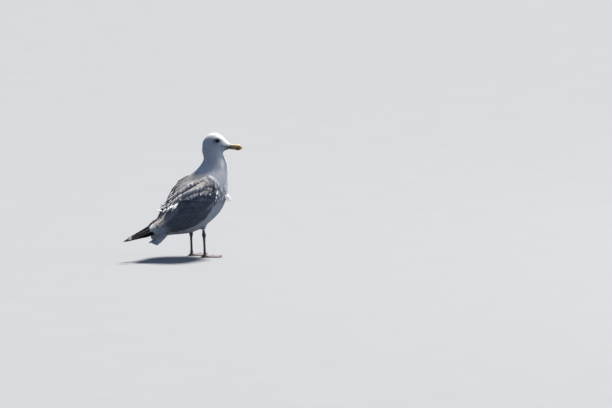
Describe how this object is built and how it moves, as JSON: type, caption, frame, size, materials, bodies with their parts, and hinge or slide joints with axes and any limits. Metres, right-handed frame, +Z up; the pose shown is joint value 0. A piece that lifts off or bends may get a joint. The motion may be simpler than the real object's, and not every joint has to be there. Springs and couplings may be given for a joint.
{
  "type": "herring gull",
  "caption": "Herring gull in worn, moulting plumage, standing alert on both feet with its head turned to its right, as a still life-size model.",
  "frame": {"origin": "middle of the bounding box, on the floor under the feet", "axes": "+X the way the body heads, +Y to the gull's left, +Z up"},
  "size_m": [0.4012, 0.1536, 0.3784],
  "materials": {
    "white_plumage": "soft matte",
    "wing_feathers": "soft matte",
    "primary_feathers": "satin",
    "tail_feathers": "soft matte",
    "bill": "satin",
    "claw": "satin",
    "eye": "polished",
    "leg_skin": "scaly matte"
  },
  "bodies": {
    "root": {"head": "white_plumage", "neck": "white_plumage", "trunk": "white_plumage", "thigh_left": "white_plumage", "thigh_right": "white_plumage", "tail": "tail_feathers", "wing_left": "wing_feathers", "wing_right": "wing_feathers", "primaries_left": "primary_feathers", "primaries_right": "primary_feathers", "bill_upper": "bill", "bill_lower": "bill", "eye_left": "eye", "eye_right": "eye", "shank_left": "leg_skin", "shank_right": "leg_skin", "foot_left": "leg_skin", "foot_right": "leg_skin", "claw_inner_left": "claw", "claw_middle_left": "claw", "claw_outer_left": "claw", "claw_hind_left": "claw", "claw_inner_right": "claw", "claw_middle_right": "claw", "claw_outer_right": "claw", "claw_hind_right": "claw"}
  },
  "joints": []
}
